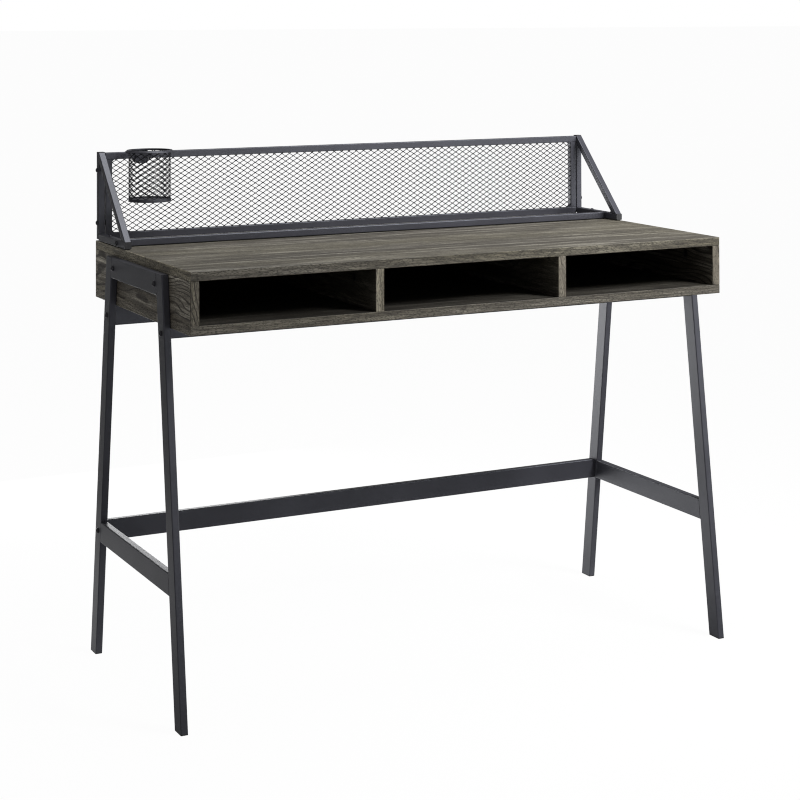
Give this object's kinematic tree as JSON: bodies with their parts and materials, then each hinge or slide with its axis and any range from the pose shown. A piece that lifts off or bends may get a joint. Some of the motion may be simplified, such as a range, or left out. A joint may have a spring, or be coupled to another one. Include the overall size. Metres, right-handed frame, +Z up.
{
  "type": "writing desk with hutch",
  "caption": "Writing desk with an open cubby box top on splayed tube legs, and a low mesh hutch that carries a hanging pencil cup.",
  "frame": {"origin": "on the floor, at the centre of the desk's footprint", "axes": "+X to the sitter's right, -Y to the front where the sitter is, +Z up"},
  "size_m": [1.0996, 0.508, 0.9338],
  "materials": {
    "wood_laminate": "matt weathered grey-brown wood-grain laminate on particle board",
    "powder_coat": "satin charcoal powder coat on steel tube",
    "steel_mesh": "satin charcoal powder coat on flattened expanded steel",
    "black_bolts": "black oxide steel, slightly glossy",
    "black_plastic": "matt moulded black plastic",
    "zinc_plated": "bright zinc plating",
    "beech_dowel": "fluted beech, bare"
  },
  "bodies": {
    "desk": {"desk_top": "wood_laminate", "bottom_panel": "wood_laminate", "left_side_panel": "wood_laminate", "right_side_panel": "wood_laminate", "left_divider": "wood_laminate", "right_divider": "wood_laminate", "back_panel": "wood_laminate", "left_front_leg": "powder_coat", "left_rear_leg": "powder_coat", "left_top_rail": "powder_coat", "left_side_stretcher": "powder_coat", "right_front_leg": "powder_coat", "right_rear_leg": "powder_coat", "right_top_rail": "powder_coat", "right_side_stretcher": "powder_coat", "rear_stretcher": "powder_coat", "rear_under_rail": "powder_coat", "front_under_rail": "powder_coat", "rail_end_plugs": "zinc_plated", "foot_glides": "black_plastic", "top_rail_bolts": "black_bolts", "under_rail_bolts": "black_bolts", "stretcher_bolts": "black_bolts", "threaded_inserts": "zinc_plated", "rail_screws": "zinc_plated", "cam_locks": "black_bolts", "cam_studs": "zinc_plated", "dowels": "beech_dowel", "bottom_screws": "zinc_plated", "hutch_left_upright": "powder_coat", "hutch_right_upright": "powder_coat", "hutch_left_brace": "powder_coat", "hutch_right_brace": "powder_coat", "hutch_left_foot_rail": "powder_coat", "hutch_right_foot_rail": "powder_coat", "hutch_cross_rail": "powder_coat", "hutch_cross_rail_plugs": "zinc_plated", "hutch_cross_rail_bolts": "black_bolts", "hutch_end_caps": "black_plastic", "hutch_foot_pads": "black_plastic", "hutch_fixing_screws": "black_bolts", "hutch_panel_top_rail": "powder_coat", "hutch_panel_bottom_rail": "powder_coat", "hutch_panel_left_stile": "powder_coat", "hutch_panel_right_stile": "powder_coat", "hutch_panel_mesh": "steel_mesh", "hutch_panel_spacers": "black_plastic", "hutch_panel_bolts": "black_bolts", "hutch_panel_rivet_nuts": "zinc_plated"},
    "cup_hanger": {"cup_hanger_ring": "powder_coat", "cup_hanger_strap": "powder_coat"},
    "pencil_cup": {"cup_wall": "steel_mesh", "cup_rim": "powder_coat", "cup_base_band": "powder_coat", "cup_floor": "powder_coat"}
  },
  "joints": [
    {"name": "hanger_slide", "type": "slide", "parent": "desk", "child": "cup_hanger", "axis": [1, 0, 0], "range_m": [-0.025, 0.923]},
    {"name": "cup_lift", "type": "slide", "parent": "cup_hanger", "child": "pencil_cup", "axis": [0, 0, 1], "range_m": [0, 0.11]}
  ]
}
